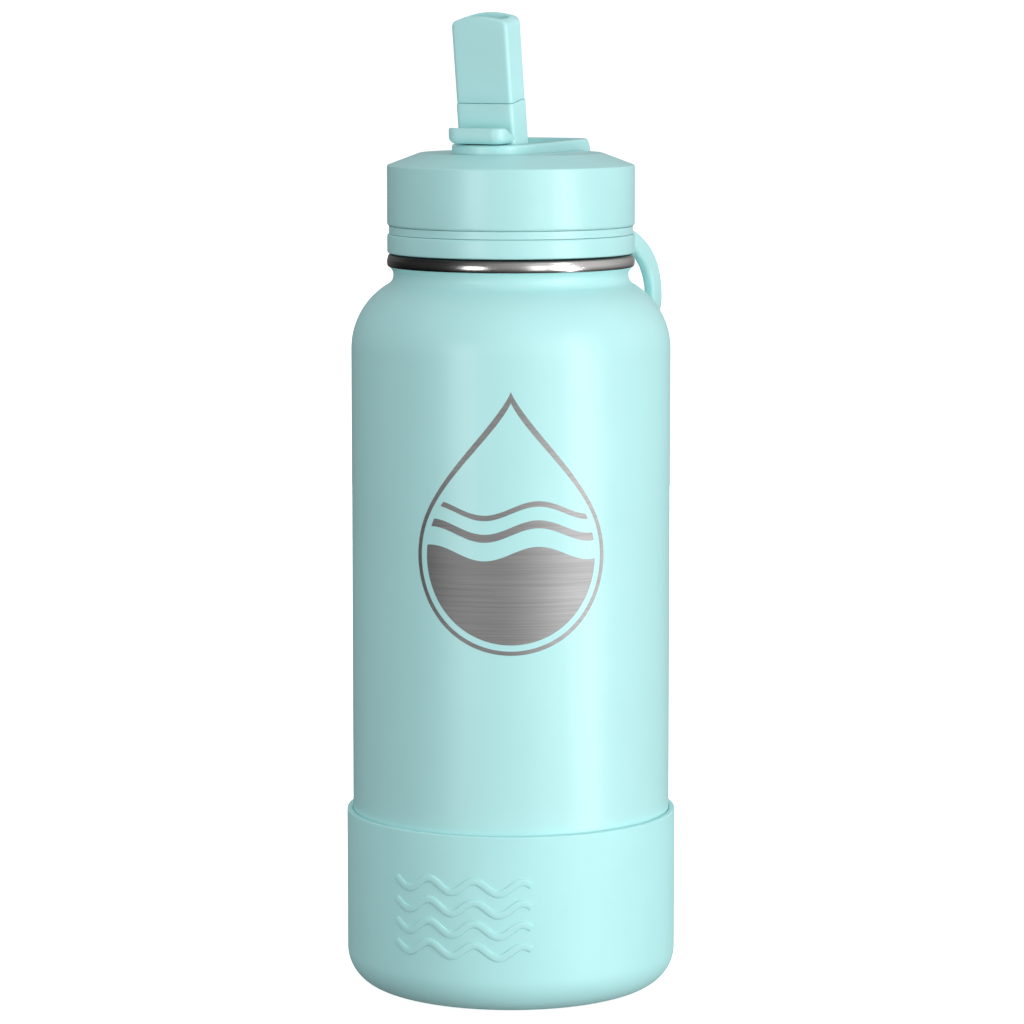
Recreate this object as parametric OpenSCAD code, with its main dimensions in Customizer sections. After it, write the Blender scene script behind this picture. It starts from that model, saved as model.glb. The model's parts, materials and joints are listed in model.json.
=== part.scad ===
// Insulated water bottle with a screw-on straw lid, a carry loop and a silicone boot.
// Millimetres. +Z is up and the origin is the centre of the flat underside.
// The decorated front of the bottle faces -Y. Lid parts are drawn in the lid's own frame,
// where -Y is the drinking side, and lid_frame() turns them to how the lid is screwed home.

/* [Bottle] */
// Outside radius of the coated steel shell
shell_r = 45; // [44.5:0.1:45.5]
// Height where the straight side ends and the shoulder starts
side_top = 181.8; // [150:0.1:220]
// Radius of the rounded shoulder
shoulder_round = 21; // [20.8:0.1:21.2]
// Rise from the start of the shoulder to the narrowest place of the neck
shoulder_rise = 20.7; // [20.5:0.1:21]
// Outside radius of the neck at its narrowest place
neck_r = 33.1; // [32.9:0.1:33.3]
// Inside radius of the mouth
mouth_r = 29; // [28.8:0.1:29.1]
// Rounding where the shell turns under
base_round = 9; // [8:0.5:10]
// Wall of the outer shell
shell_wall = 0.6; // [0.5:0.1:0.8]
// Wall of the inner vessel
vessel_wall = 0.5; // [0.4:0.1:0.7]
// Width of the evacuated space between the two walls
vacuum_gap = 2.9; // [2.5:0.1:3.2]

/* [Boot] */
// Wall of the silicone boot
boot_wall = 1.69; // [1.4:0.01:2]
// Height of the boot
boot_h = 50.8; // [35:0.1:80]
// Thickness of the boot's floor
boot_floor = 2; // [1.6:0.1:2.4]

/* [Lid] */
// Angle of the drinking side from the front of the bottle, clockwise seen from above
lid_facing = 25; // [0:1:60]
// Outside radius of the lid
lid_r = 34.8; // [34.6:0.1:35]
// Height of the carry ring
ring_h = 5.45; // [5.3:0.05:5.6]
// Height of the shallow groove above the carry ring
groove_h = 2.1; // [1.9:0.1:2.3]
// Height of the cap's straight side
cap_side_h = 16.9; // [16.5:0.1:18]
// Rise of the cap's sloping edge
cone_h = 3.6; // [3.5:0.1:4]
// Radius of the cap's flat top
flat_r = 25.5; // [25:0.1:26]
// Rise of the screw thread in one turn
thread_pitch = 4; // [3.8:0.1:4.2]

/* [Spout] */
// Width of the soft mouthpiece
spout_w = 17; // [16.5:0.1:17.2]
// Thickness of the soft mouthpiece
spout_t = 9.6; // [9.2:0.1:9.8]
// Length of the spout from its hinge to its tip
spout_len = 38.3; // [36:0.1:39.9]
// Distance from the hinge to the seam under the mouthpiece
seam_at = 14.2; // [13.5:0.1:15]
// How far the open spout leans forward of upright
lean = 8.8; // [6:0.1:10]
// Distance of the hinge in front of the lid's centre
hinge_front = 10.9; // [10.7:0.1:11]

/* [Carry loop] */
// Width of the strap across the loop
strap_w = 3.4; // [3:0.1:3.6]
// Depth of the strap, front to back
strap_t = 5.6; // [5.2:0.1:5.6]

/* [Hidden] */
$fn = 96;
tiny = 0.01;
fit_gap = 0.05;        // radial clearance of parts that turn or slide in each other
turn_gap = 0.3;        // room around parts that swing past each other

// bottle levels and radii
shoulder_c = shell_r - shoulder_round;
neck_z = side_top + shoulder_rise;
neck_in = neck_r - shoulder_c;
blend_r = (pow(neck_in, 2) + pow(shoulder_rise, 2) - pow(shoulder_round, 2))
    / (2 * (shoulder_round - neck_in));
blend_x = neck_r + blend_r;
shoulder_end = atan2(shoulder_rise, blend_x - shoulder_c);
coat_top = 2.5;        // the coated neck ends this far above its narrowest place
shell_z = boot_floor + fit_gap;
base_r = shell_r - base_round;
vessel_r = shell_r - shell_wall - vacuum_gap - vessel_wall;
vessel_z = 8;
vessel_round = 8;
bead_r = 2.4;
bead_x = neck_r - 0.6;
bead_z = neck_z + 3.65;
bead_top = bead_z + bead_r;

// lid levels
ring_z = bead_top + 0.2;
flange_z = ring_z + ring_h;
cap_z = flange_z + groove_h;
cap_side_top = cap_z + cap_side_h;
cap_top = cap_side_top + cone_h;
core_r = mouth_r - 0.3;
plug_r = mouth_r - 2;
plug_in = plug_r - 2.4;
plug_z = ring_z - 12.75;
plug_floor = 2;
cap_wall = 2.4;

// thread
ridge = 1.6;           // height of a thread ridge above its wall
ridge_turns = 1.25;
steps_per_turn = 48;

// spout, hinge and cradle
hinge_z = cap_top + 0.6;
base_w = spout_w + 0.3;
base_t = spout_t + 0.3;
barrel_r = base_t / 2;
well_w = base_w + 2 * 0.4;
well_floor = hinge_z - barrel_r - turn_gap;
well_end = spout_len - hinge_front + turn_gap;
cradle_w = 23;
cradle_front = 23.1;
cradle_rear = well_end + 3.6;
cradle_tail = 2;       // how far the cradle's end reaches out over the cap's sloping edge
cradle_z = well_floor - 2.3;
cradle_top = cap_top + 2.6;
cradle_rise = 0.7;
hinge_pin_r = 1.1;
channel_r = 2.2;
tab_front = 24.6;      // distance of the thumb tab's front from the lid's centre
slot_w = 12;
slot_t = 5;
insert_w = 14;
insert_t = 7;

// straw and vent
stem_r = 4.6;
barb_r = 3.2;
straw_r = 4;
straw_top = plug_z - 13;
straw_end = vessel_z + 4;
vent_back = 12;

// carry loop: right half of its middle line, from the pin to the middle of the grip, lid frame
loop_x = 26.2;
pin_y = 24.2;
pin_z = ring_z + ring_h / 2;
pin_r = 1.2;
eye_r = strap_t / 2;
lug_x = loop_x - strap_w / 2 - 0.2;
arm_curve = [[loop_x, pin_y, pin_z], [27, 31.7, pin_z - 2.7],
             [27.5, 38, pin_z - 8.2], [27.4, 38.2, pin_z - 16.2]];
grip_curve = [[27.4, 38.2, pin_z - 16.2], [27.3, 40.5, pin_z - 24],
              [17, 49.4, pin_z - 37.5], [0, 49.4, pin_z - 37.5]];
curve_steps = 14;

coat = [0.66, 0.89, 0.89];
rubber_tint = [0.64, 0.87, 0.87];
steel = [0.75, 0.76, 0.77];
clear_plastic = [0.85, 0.9, 0.92];

// ---- helpers ----

function arc(x, z, r, from, to, n = 12) =
    [for (i = [0:n]) [x + r * cos(from + (to - from) * i / n), z + r * sin(from + (to - from) * i / n)]];

function reversed(list) = [for (i = [len(list) - 1:-1:0]) list[i]];

function unit(v) = v / norm(v);

function bezier(p, t) = pow(1 - t, 3) * p[0] + 3 * pow(1 - t, 2) * t * p[1]
    + 3 * (1 - t) * pow(t, 2) * p[2] + pow(t, 3) * p[3];

// A closed solid through a list of rings, each a list of points that goes round the same way
module sweep(rings) {
    n = len(rings);
    m = len(rings[0]);
    sides = [for (i = [0:n - 2], j = [0:m - 1], half = [0:1])
        half == 0 ? [i * m + j, i * m + (j + 1) % m, (i + 1) * m + (j + 1) % m]
                  : [i * m + j, (i + 1) * m + (j + 1) % m, (i + 1) * m + j]];
    first_cap = [for (j = [1:m - 2]) [0, j + 1, j]];
    last_cap = [for (j = [1:m - 2]) [(n - 1) * m, (n - 1) * m + j, (n - 1) * m + j + 1]];
    polyhedron(points = [for (ring = rings) each ring], faces = concat(sides, first_cap, last_cap));
}

module rounded_rect(w, t, r) {
    square([w - 2 * r, t], center = true);
    square([w, t - 2 * r], center = true);
    for (x = [-1, 1], y = [-1, 1]) translate([x * (w / 2 - r), y * (t / 2 - r)]) circle(r, $fn = 32);
}

module lid_frame() { rotate([0, 0, -lid_facing]) children(); }

// From the hinge along the open spout, with +Z towards the spout's tip
module spout_frame() {
    lid_frame() translate([0, -hinge_front, hinge_z]) rotate([lean, 0, 0]) children();
}

module across(r, length) { rotate([0, 90, 0]) cylinder(r = r, h = length, center = true); }

// One helical thread ridge; out is the direction in which it stands off its wall
module thread_ridge(wall_r, out, z, turns) {
    root = wall_r - out * 0.4;
    crest = wall_r + out * ridge;
    sweep([for (i = [0:turns * steps_per_turn])
        let (a = 360 * i / steps_per_turn, h = z + thread_pitch * i / steps_per_turn,
             ring = [[root, -1.1], [crest, -0.5], [crest, 0.5], [root, 1.1]])
        [for (k = [0:3]) let (q = out > 0 ? ring[k] : ring[3 - k])
            [q[0] * cos(a), q[0] * sin(a), h + q[1]]]]);
}

// ---- bottle ----

function shell_side(inset) = concat(
    arc(base_r, shell_z + base_round, base_round - inset, -90, 0),
    arc(shoulder_c, side_top, shoulder_round - inset, 0, shoulder_end, 20),
    arc(blend_x, neck_z, blend_r + inset, 180 + shoulder_end, 180 - asin(coat_top / (blend_r + inset))));

module outer_shell() {
    color(coat) rotate_extrude() polygon(concat(shell_side(0), reversed(shell_side(shell_wall))));
}

module shell_base() {
    rim = 6;
    dish = 1.7;
    hole_r = 2;
    color(steel) rotate_extrude() polygon([
        [base_r, shell_z], [base_r, shell_z + shell_wall], [base_r - rim, shell_z + shell_wall],
        [base_r - rim - 3, shell_z + shell_wall + dish], [hole_r, shell_z + shell_wall + dish],
        [hole_r, shell_z + dish], [base_r - rim - 3, shell_z + dish], [base_r - rim, shell_z]]);
}

module vacuum_plug() {
    color(steel) translate([0, 0, shell_z + 1.75]) cylinder(r = 2, h = 0.75);
}

module getter() {
    color(steel) translate([15, 0, shell_z + shell_wall + 1.7]) cylinder(r = 5, h = 1.2);
}

function vessel_side(inset) = let (r = vessel_r + inset) concat(
    [[0, vessel_z - inset]],
    arc(vessel_r - vessel_round, vessel_z + vessel_round, vessel_round + inset, -90, 0),
    arc(shoulder_c, side_top, r - shoulder_c, 0, acos((mouth_r + inset - shoulder_c) / (r - shoulder_c)), 16),
    [[mouth_r + inset, bead_top - 0.5]]);

module inner_vessel() {
    color(steel) {
        rotate_extrude() polygon(concat(vessel_side(vessel_wall), reversed(vessel_side(0))));
        thread_ridge(mouth_r, -1, ring_z - 9.4, ridge_turns);
    }
}

module mouth_ring() {
    color(steel) rotate_extrude() {
        intersection() {
            translate([bead_x, bead_z]) circle(bead_r);
            translate([0, neck_z + coat_top + fit_gap]) square([50, 10]);
        }
        translate([mouth_r + vessel_wall, bead_z - 1.6]) square([bead_x - mouth_r - vessel_wall, 3.6]);
    }
}

module boot() {
    r = shell_r + fit_gap + boot_wall;
    toe = base_round + boot_wall + fit_gap - 0.24;
    lip = 0.35;
    color(rubber_tint) rotate_extrude() polygon(concat(
        [[0, 0]], arc(r - toe, toe, toe, -90, 0),
        [[r, boot_h - lip], [r - lip, boot_h], [shell_r + fit_gap + lip, boot_h],
         [shell_r + fit_gap, boot_h - lip]],
        arc(base_r, shell_z + base_round, base_round + fit_gap, 0, -90), [[0, boot_floor]]));
}

// ---- lid ----

// Plan of the cradle, round in front, with its rear end at a given distance, grown by a margin
module cradle_plan(rear, margin) {
    middle = cradle_front - cradle_w / 2;
    r = cradle_w / 2 + margin;
    corner = 5;
    translate([0, -middle]) circle(r);
    translate([-r, -middle]) square([2 * r, middle + rear - corner]);
    translate([corner - cradle_w / 2, -middle])
        square([cradle_w - 2 * corner, middle + rear + margin]);
    for (side = [-1, 1]) translate([side * (cradle_w / 2 - corner), rear - corner])
        circle(corner + margin, $fn = 32);
}

module lid_cap() {
    edge = 0.5;
    inner_slope = (cap_wall - 0.2) * cone_h / (lid_r - flat_r);
    color(coat) lid_frame() difference() {
        rotate_extrude() polygon([
            [lid_r - cap_wall, cap_z], [lid_r - edge, cap_z], [lid_r, cap_z + edge],
            [lid_r, cap_side_top - 0.2], [lid_r - 0.3, cap_side_top], [flat_r + 0.3, cap_top - 0.1],
            [flat_r - 0.4, cap_top], [0, cap_top], [0, cap_top - cap_wall],
            [flat_r - 1, cap_top - cap_wall], [lid_r - cap_wall, cap_side_top - cap_wall + inner_slope]]);
        translate([0, 0, cradle_z - 1]) linear_extrude(20) cradle_plan(cradle_rear, 0.3);
    }
}

module lid_plug() {
    color(coat) lid_frame() difference() {
        union() {
            rotate_extrude() polygon([
                [0, plug_z], [plug_r, plug_z], [plug_r, ring_z], [core_r, ring_z], [core_r, flange_z],
                [lid_r - 0.5, flange_z], [lid_r - 0.5, cap_z], [plug_in, cap_z],
                [plug_in, plug_z + plug_floor], [0, plug_z + plug_floor]]);
            rotate([0, 0, lid_facing]) thread_ridge(plug_r, 1, ring_z - 11.4, ridge_turns);
        }
        translate([0, -hinge_front, plug_z - 1]) cylinder(r = stem_r, h = plug_floor + 2);
        translate([0, vent_back, plug_z - 1]) cylinder(r = 2, h = plug_floor + 2);
    }
}

module lid_foam() {
    top = cradle_z - 0.2;
    color([0.95, 0.94, 0.9]) lid_frame() difference() {
        union() {
            translate([0, 0, plug_z + plug_floor]) cylinder(r = plug_in, h = top - plug_z - plug_floor);
            translate([0, 0, cap_z]) cylinder(r = lid_r - cap_wall - 0.2, h = top - cap_z);
        }
        translate([0, -hinge_front, plug_z]) cylinder(r = stem_r, h = 40);
        translate([0, vent_back, plug_z]) cylinder(r = 3.6, h = 40);
    }
}

module lid_gasket() {
    color(rubber_tint) translate([0, 0, ring_z - 2.9]) difference() {
        cylinder(r = mouth_r - fit_gap, h = 2.8);
        translate([0, 0, -1]) cylinder(r = plug_r + fit_gap, h = 5);
    }
}

module carry_ring() {
    edge = 0.4;
    color(coat) lid_frame() difference() {
        union() {
            difference() {
                rotate_extrude() polygon([
                    [core_r, ring_z], [lid_r - edge, ring_z], [lid_r, ring_z + edge],
                    [lid_r, flange_z - edge], [lid_r - edge, flange_z], [core_r, flange_z]]);
                for (side = [-1, 1]) translate([side * (lug_x + 10), pin_y - eye_r - 0.6 + 10, pin_z])
                    cube([20, 20, 10], center = true);
            }
            for (side = [-1, 1]) translate([side * (lug_x - 3), pin_y, pin_z])
                across(ring_h / 2 - 0.02, 6);
        }
        for (side = [-1, 1]) translate([side * (lug_x - 3), pin_y, pin_z]) across(pin_r, 6.02);
    }
}

module loop_pins() {
    color(steel) lid_frame() for (side = [-1, 1]) {
        translate([side * (lug_x - 1.7), pin_y, pin_z]) across(pin_r, 8.6);
    }
}

// One cross-section of the strap: a rectangle with rounded corners, square to the middle line
function strap_ring(p, ahead, tilt) =
    let (side = unit(cross(ahead, [0, cos(tilt), sin(tilt)])), deep = cross(side, ahead), round = 1.1)
    [for (corner = [[1, 1, 0], [-1, 1, 90], [-1, -1, 180], [1, -1, 270]], a = [0, 45, 90])
        p + side * (corner[0] * (strap_w / 2 - round) + round * cos(corner[2] + a))
          + deep * (corner[1] * (strap_t / 2 - round) + round * sin(corner[2] + a))];

function loop_point(t) = t < 1 ? bezier(arm_curve, t) : bezier(grip_curve, t - 1);

function mirrored(p) = [-p[0], p[1], p[2]];

function loop_at(t) = t <= 2 ? loop_point(t) : mirrored(loop_point(4 - t));

module carry_loop() {
    start_tilt = 70;
    first = 0.12;
    step = (4 - 2 * first) / (4 * curve_steps);
    color(coat) lid_frame() difference() {
        union() {
            sweep([for (i = [0:4 * curve_steps])
                let (t = first + i * step, near = min(t, 4 - t),
                     ahead = unit(loop_at(t + tiny) - loop_at(t - tiny)))
                strap_ring(loop_at(t), ahead, start_tilt * max(0, 1 - near))]);
            for (side = [-1, 1]) translate([side * loop_x, pin_y, pin_z]) across(eye_r, strap_w);
        }
        for (side = [-1, 1]) translate([side * (loop_x - 1), pin_y, pin_z])
            across(pin_r + fit_gap, strap_w + 0.6);
    }
}

// ---- spout ----

module spout_cradle() {
    tail = cradle_rear + cradle_tail;
    color(coat) lid_frame() difference() {
        intersection() {
            union() {
                translate([0, 0, cradle_z]) linear_extrude(20) cradle_plan(cradle_rear, 0);
                difference() {
                    translate([0, 0, cap_side_top]) linear_extrude(20) cradle_plan(tail, 0);
                    rotate_extrude() polygon([
                        [0, cap_side_top - 5], [lid_r, cap_side_top - 5], [lid_r, cap_side_top + fit_gap],
                        [flat_r, cap_top + fit_gap], [0, cap_top + fit_gap]]);
                }
            }
            rotate([90, 0, 90]) linear_extrude(40, center = true) polygon([
                [-cradle_front, cradle_z], [tail, cradle_z], [tail, cap_top],
                [tail - 2.4, cradle_top + cradle_rise], [-cradle_front, cradle_top]]);
        }
        // well that takes the folded spout, and the round seat of the hinge barrel
        translate([-well_w / 2, -hinge_front, well_floor]) cube([well_w, well_end + hinge_front, 20]);
        translate([0, -hinge_front, hinge_z]) across(barrel_r + turn_gap, well_w);
        translate([-well_w / 2, -hinge_front - barrel_r - 2 * turn_gap, hinge_z])
            cube([well_w, barrel_r + 2 * turn_gap + tiny, 20]);
        // seats of the seal, the straw stem and the hinge pins
        translate([0, -hinge_front, cradle_z + 0.7 + 5]) cube([11, 7, 10], center = true);
        translate([0, -hinge_front, cradle_z - 1]) cylinder(r = stem_r, h = 3);
        translate([0, -hinge_front, hinge_z]) across(hinge_pin_r + fit_gap, cradle_w - 1.2);
    }
}

module spout_seal() {
    color(rubber_tint) lid_frame() difference() {
        translate([0, -hinge_front, cradle_z + 0.7 + 1.2]) cube([11, 7, 2.4], center = true);
        translate([0, -hinge_front, hinge_z]) across(barrel_r + fit_gap, 20);
        translate([-10, -hinge_front, hinge_z - barrel_r - fit_gap]) cube([20, 10, 10]);
        translate([0, -hinge_front, cradle_z]) cylinder(r = channel_r, h = 10);
    }
}

// Thumb tab: a lip in front of the spout that curls up at its front edge
module thumb_tab() {
    low = cradle_top + 0.35;
    lid_frame() intersection() {
        rotate([90, 0, 90]) linear_extrude(base_w, center = true) polygon(concat(
            [[-hinge_front - 3, low]], arc(-tab_front + 1.6, low + 1.6, 1.6, -90, -180, 6),
            [[-tab_front, low + 4], [-tab_front + 0.4, low + 4.4], [-tab_front + 1.2, low + 4.4]],
            arc(-tab_front + 4.2, low + 4.2, 2.6, 180, 270, 6), [[-hinge_front - 3, low + 1.6]]));
        translate([0, 10 - tab_front, low - 1]) linear_extrude(8) rounded_rect(base_w, 20, 3);
    }
}

module spout_base() {
    color(coat) difference() {
        union() {
            spout_frame() across(barrel_r, base_w);
            spout_frame() linear_extrude(seam_at) rounded_rect(base_w, base_t, 1.2);
            thumb_tab();
        }
        spout_frame() {
            translate([0, 0, -10]) cylinder(r = channel_r, h = 20);
            translate([0, 0, 8]) linear_extrude(10) rounded_rect(insert_w, insert_t, 1.5);
            for (side = [-1, 1]) translate([side * (base_w / 2 - 1.5), 0, 0]) across(hinge_pin_r, 3.02);
        }
    }
}

module mouthpiece() {
    drop = 2;
    arch_r = (pow(spout_w / 2, 2) + pow(drop, 2)) / (2 * drop);
    color(rubber_tint) spout_frame() difference() {
        union() {
            intersection() {
                translate([0, 0, seam_at + 0.05])
                    linear_extrude(spout_len) rounded_rect(spout_w, spout_t, 1.1);
                union() {
                    translate([0, 0, spout_len - arch_r]) rotate([90, 0, 0])
                        cylinder(r = arch_r, h = 20, center = true, $fn = 180);
                    translate([-15, -15, 0]) cube([30, 30, spout_len - arch_r]);
                }
            }
            translate([0, 0, 8.1]) linear_extrude(seam_at - 8) rounded_rect(insert_w, insert_t, 1.5);
        }
        linear_extrude(60) rounded_rect(slot_w, slot_t, 1.8);
    }
}

module hinge_pins() {
    length = 4.2;
    color(steel) spout_frame() for (side = [-1, 1])
        translate([side * (base_w / 2 - 3 + length / 2), 0, 0]) across(hinge_pin_r, length);
}

// ---- straw and vent ----

module straw_stem() {
    color(clear_plastic) lid_frame() translate([0, -hinge_front, 0]) difference() {
        union() {
            translate([0, 0, plug_z]) cylinder(r = stem_r, h = cradle_z + 0.7 - plug_z);
            translate([0, 0, straw_top - 2]) cylinder(r = barb_r, h = plug_z - straw_top + 3);
        }
        translate([0, 0, straw_top - 3]) cylinder(r = 2.4, h = 80);
    }
}

module straw() {
    color(clear_plastic) lid_frame() translate([0, -hinge_front, straw_end]) difference() {
        cylinder(r = straw_r, h = straw_top + 11 - straw_end);
        translate([0, 0, -1]) cylinder(r = barb_r, h = 250);
        translate([0, 0, -2.6]) rotate([35, 0, 0]) cube([20, 20, 4], center = true);
    }
}

module vent_valve() {
    color(rubber_tint) lid_frame() translate([0, vent_back, plug_z]) difference() {
        union() {
            translate([0, 0, -0.9]) cylinder(r = 3.4, h = 0.9);
            cylinder(r = 2, h = plug_floor);
            translate([0, 0, plug_floor]) cylinder(r = 3, h = 1);
        }
        translate([0, 0, -2]) cylinder(r = 0.6, h = 8);
    }
}

outer_shell();
shell_base();
inner_vessel();
mouth_ring();
getter();
vacuum_plug();
boot();
lid_cap();
lid_foam();
lid_plug();
lid_gasket();
carry_ring();
carry_loop();
loop_pins();
spout_cradle();
spout_base();
mouthpiece();
hinge_pins();
spout_seal();
straw_stem();
straw();
vent_valve();
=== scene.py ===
"""Looks of the insulated water bottle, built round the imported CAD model. The shape functions work in
millimetres; a mesh is turned to metres as it is made. Camera, lights and shaders use metres."""

import json
import math

import bmesh
import bpy
from mathutils import Matrix, Vector


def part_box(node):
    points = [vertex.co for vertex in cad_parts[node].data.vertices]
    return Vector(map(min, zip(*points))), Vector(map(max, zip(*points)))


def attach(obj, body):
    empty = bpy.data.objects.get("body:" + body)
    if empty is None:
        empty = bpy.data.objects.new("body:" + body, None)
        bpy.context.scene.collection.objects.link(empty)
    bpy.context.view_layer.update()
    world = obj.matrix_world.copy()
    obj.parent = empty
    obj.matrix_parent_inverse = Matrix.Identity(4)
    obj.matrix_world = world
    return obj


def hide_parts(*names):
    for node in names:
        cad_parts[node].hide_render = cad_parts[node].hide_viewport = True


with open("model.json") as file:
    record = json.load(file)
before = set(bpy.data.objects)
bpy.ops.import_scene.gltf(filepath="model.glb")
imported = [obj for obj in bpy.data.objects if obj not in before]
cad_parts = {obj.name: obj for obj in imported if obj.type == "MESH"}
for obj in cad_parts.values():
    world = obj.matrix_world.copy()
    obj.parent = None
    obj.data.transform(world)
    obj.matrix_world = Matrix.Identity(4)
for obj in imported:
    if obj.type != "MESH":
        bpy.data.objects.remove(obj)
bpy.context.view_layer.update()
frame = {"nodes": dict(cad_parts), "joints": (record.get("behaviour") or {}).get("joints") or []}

MM = 0.001


def node_box(node):
    low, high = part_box(node)
    return low / MM, high / MM


def joint(name):
    return next(j for j in frame["joints"] if j["name"] == name)


# ---- sizes, from the frame ----

SHELL_R = node_box("outer_shell")[1].x
SHELL_Z = node_box("outer_shell")[0].z
NECK_TOP = node_box("outer_shell")[1].z
BEAD_TOP = node_box("mouth_ring")[1].z
BOOT_R, BOOT_H = node_box("boot")[1].x, node_box("boot")[1].z
RING_LOW, RING_TOP = (corner.z for corner in node_box("carry_ring"))
CAP_LOW, CAP_TOP = (corner.z for corner in node_box("lid_cap"))
LIP_OUT = 0.1  # how far the steel lip stands out past the lid
LID_R = node_box("mouth_ring")[1].x - LIP_OUT

SWING_AXIS = Vector(joint("loop_swing")["axis"])
LID_TURN = math.atan2(SWING_AXIS.y, SWING_AXIS.x)
LID_FRAME = Matrix.Rotation(LID_TURN, 4, "Z")
HINGE = Vector(joint("spout_flip")["pos_m"]) / MM
HINGE_FRONT = HINGE.xy.length
LEAN = math.radians(joint("spout_flip")["range_deg"][1] - 90)
SPOUT_FRAME = Matrix.Translation(HINGE) @ LID_FRAME @ Matrix.Rotation(LEAN, 4, "X")
PIN = LID_FRAME.inverted() @ (Vector(joint("loop_swing")["pos_m"]) / MM)

# ---- sizes of the looks ----

SIDE_TOP = 181.8  # the straight side ends and the shoulder begins
SHOULDER_ROUND = 21
SHOULDER_RISE = 20.7  # from there to the narrowest part of the neck
NECK_R = 33.1
BASE_ROUND = 9
SHELL_WALL = 0.6
MOUTH_R = 29
BOOT_TOE = 10.5
CLEAR = 0.05  # gap left between the faces of two pieces that meet
CAP_SIDE_TOP = CAP_TOP - 3.6
FLAT_R = 25.5  # where the flat top of the cap turns down into its cone
CRADLE_W = 23
CRADLE_FRONT = -23.1
CRADLE_REAR = 31.3
CRADLE_TAIL = 1.6  # how far its foot reaches out behind its rear wall
CRADLE_CORNER = 5  # rear corners, seen from above
CRADLE_RISE = 2.6  # its rim over the cap in front
CRADLE_SLOPE = 0.7 / 53.5  # climb of the rim for each millimetre to the rear
CRADLE_SHORT = 0.8  # how far short of its rear wall the part sunk in the cap stops
TAB_FRONT = -24.6
TAB_LIFT = 2.95  # height of the tab's underside over the cap
SPOUT_W, SPOUT_T = 17.0, 9.6
SPOUT_LEN = 38.3
SEAM_AT = 14.2  # where the rigid foot ends and the soft mouthpiece begins
BASE_W, BASE_T = 17.3, 9.9
STRAP_W, STRAP_T = 3.4, 5.6
LOOP_X = 26.2  # distance of the loop's ends from the middle of their axis
PIN_BORE = 1.25  # radius of the holes for the loop's pins
CREASE = 50  # an edge that turns by this many degrees or more is drawn sharp


# ---- camera ----

def make_camera():
    """Level with the top of the spout, 1.165 m from the axis, tipped down to the bottle's middle."""
    lens, place, pitch_down = 145.56, (0.0003, -1.165, 0.2774), 6.961
    camera = bpy.data.cameras.new("camera")
    camera.sensor_width = 36
    camera.lens = lens
    camera.clip_end = 20
    obj = bpy.data.objects.new("camera", camera)
    bpy.context.scene.collection.objects.link(obj)
    obj.location = place
    obj.rotation_euler = (math.radians(90 - pitch_down), 0, 0)
    bpy.context.scene.camera = obj


# ---- mesh helpers ----

def arc(x, z, r, start, end, count=10):
    """Points on a circle from one angle to another, in degrees."""
    angles = [math.radians(start + (end - start) * i / count) for i in range(count + 1)]
    return [(x + r * math.cos(a), z + r * math.sin(a)) for a in angles]


def add_object(name, points, faces, place=None, sharp=40):
    """A smooth-shaded mesh object; points are in millimetres in the frame that place gives."""
    place = place or Matrix.Identity(4)
    mesh = bpy.data.meshes.new(name)
    mesh.from_pydata([(place @ Vector(p)) * MM for p in points], [], faces)
    obj = bpy.data.objects.new(name, mesh)
    bpy.context.scene.collection.objects.link(obj)
    tidy_mesh(mesh, sharp)
    return obj


def tidy_mesh(mesh, sharp=40):
    """Welds doubled points, turns all faces outwards and marks the sharp edges."""
    work = bmesh.new()
    work.from_mesh(mesh)
    bmesh.ops.remove_doubles(work, verts=work.verts, dist=1e-7)
    bmesh.ops.dissolve_degenerate(work, edges=work.edges, dist=1e-7)
    bmesh.ops.recalc_face_normals(work, faces=work.faces)
    limit = math.radians(sharp)
    for edge in work.edges:
        edge.smooth = len(edge.link_faces) == 2 and edge.calc_face_angle(0) < limit
    for face in work.faces:
        face.smooth = True
    work.to_mesh(mesh)
    work.free()


def lathe(name, profile, steps=256, place=None, sharp=40):
    """Turns a closed outline of (radius, height) points round Z."""
    count = len(profile)
    points, faces = [], []
    for i in range(steps):
        a = 2 * math.pi * i / steps
        points += [(r * math.cos(a), r * math.sin(a), z) for r, z in profile]
    for i in range(steps):
        here, there = i * count, (i + 1) % steps * count
        for j in range(count):
            k = (j + 1) % count
            if profile[j][0] < 1e-6 and profile[k][0] < 1e-6:
                continue
            faces.append((here + j, there + j, there + k, here + k))
    return add_object(name, points, faces, place, sharp)


def loft(name, rings, place=None, sharp=40):
    """Joins rings of points that all go round the same way, and caps both ends."""
    count = len(rings[0])
    points = [p for ring in rings for p in ring]
    faces = []
    for i in range(len(rings) - 1):
        here, there = i * count, (i + 1) * count
        for j in range(count):
            k = (j + 1) % count
            faces.append((here + j, here + k, there + k, there + j))
    faces.append(tuple(range(count)))
    faces.append(tuple(range(len(points) - count, len(points))))
    return add_object(name, points, faces, place, sharp)


def rounded_rect(w, t, r, side=8, corner=8):
    """Outline of a rectangle with round corners, always with the same number of points."""
    outline = []
    corners = [(1, 1), (-1, 1), (-1, -1), (1, -1)]
    for n, (sx, sy) in enumerate(corners):
        cx, cy = sx * (w / 2 - r), sy * (t / 2 - r)
        outline += arc(cx, cy, r, 90 * n, 90 * (n + 1), corner)
        nx, ny = corners[(n + 1) % 4]
        start = outline[-1]
        a = math.radians(90 * (n + 1))
        end = (nx * (w / 2 - r) + r * math.cos(a), ny * (t / 2 - r) + r * math.sin(a))
        for i in range(1, side):
            f = i / side
            outline.append((start[0] + (end[0] - start[0]) * f, start[1] + (end[1] - start[1]) * f))
    return outline


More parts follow.
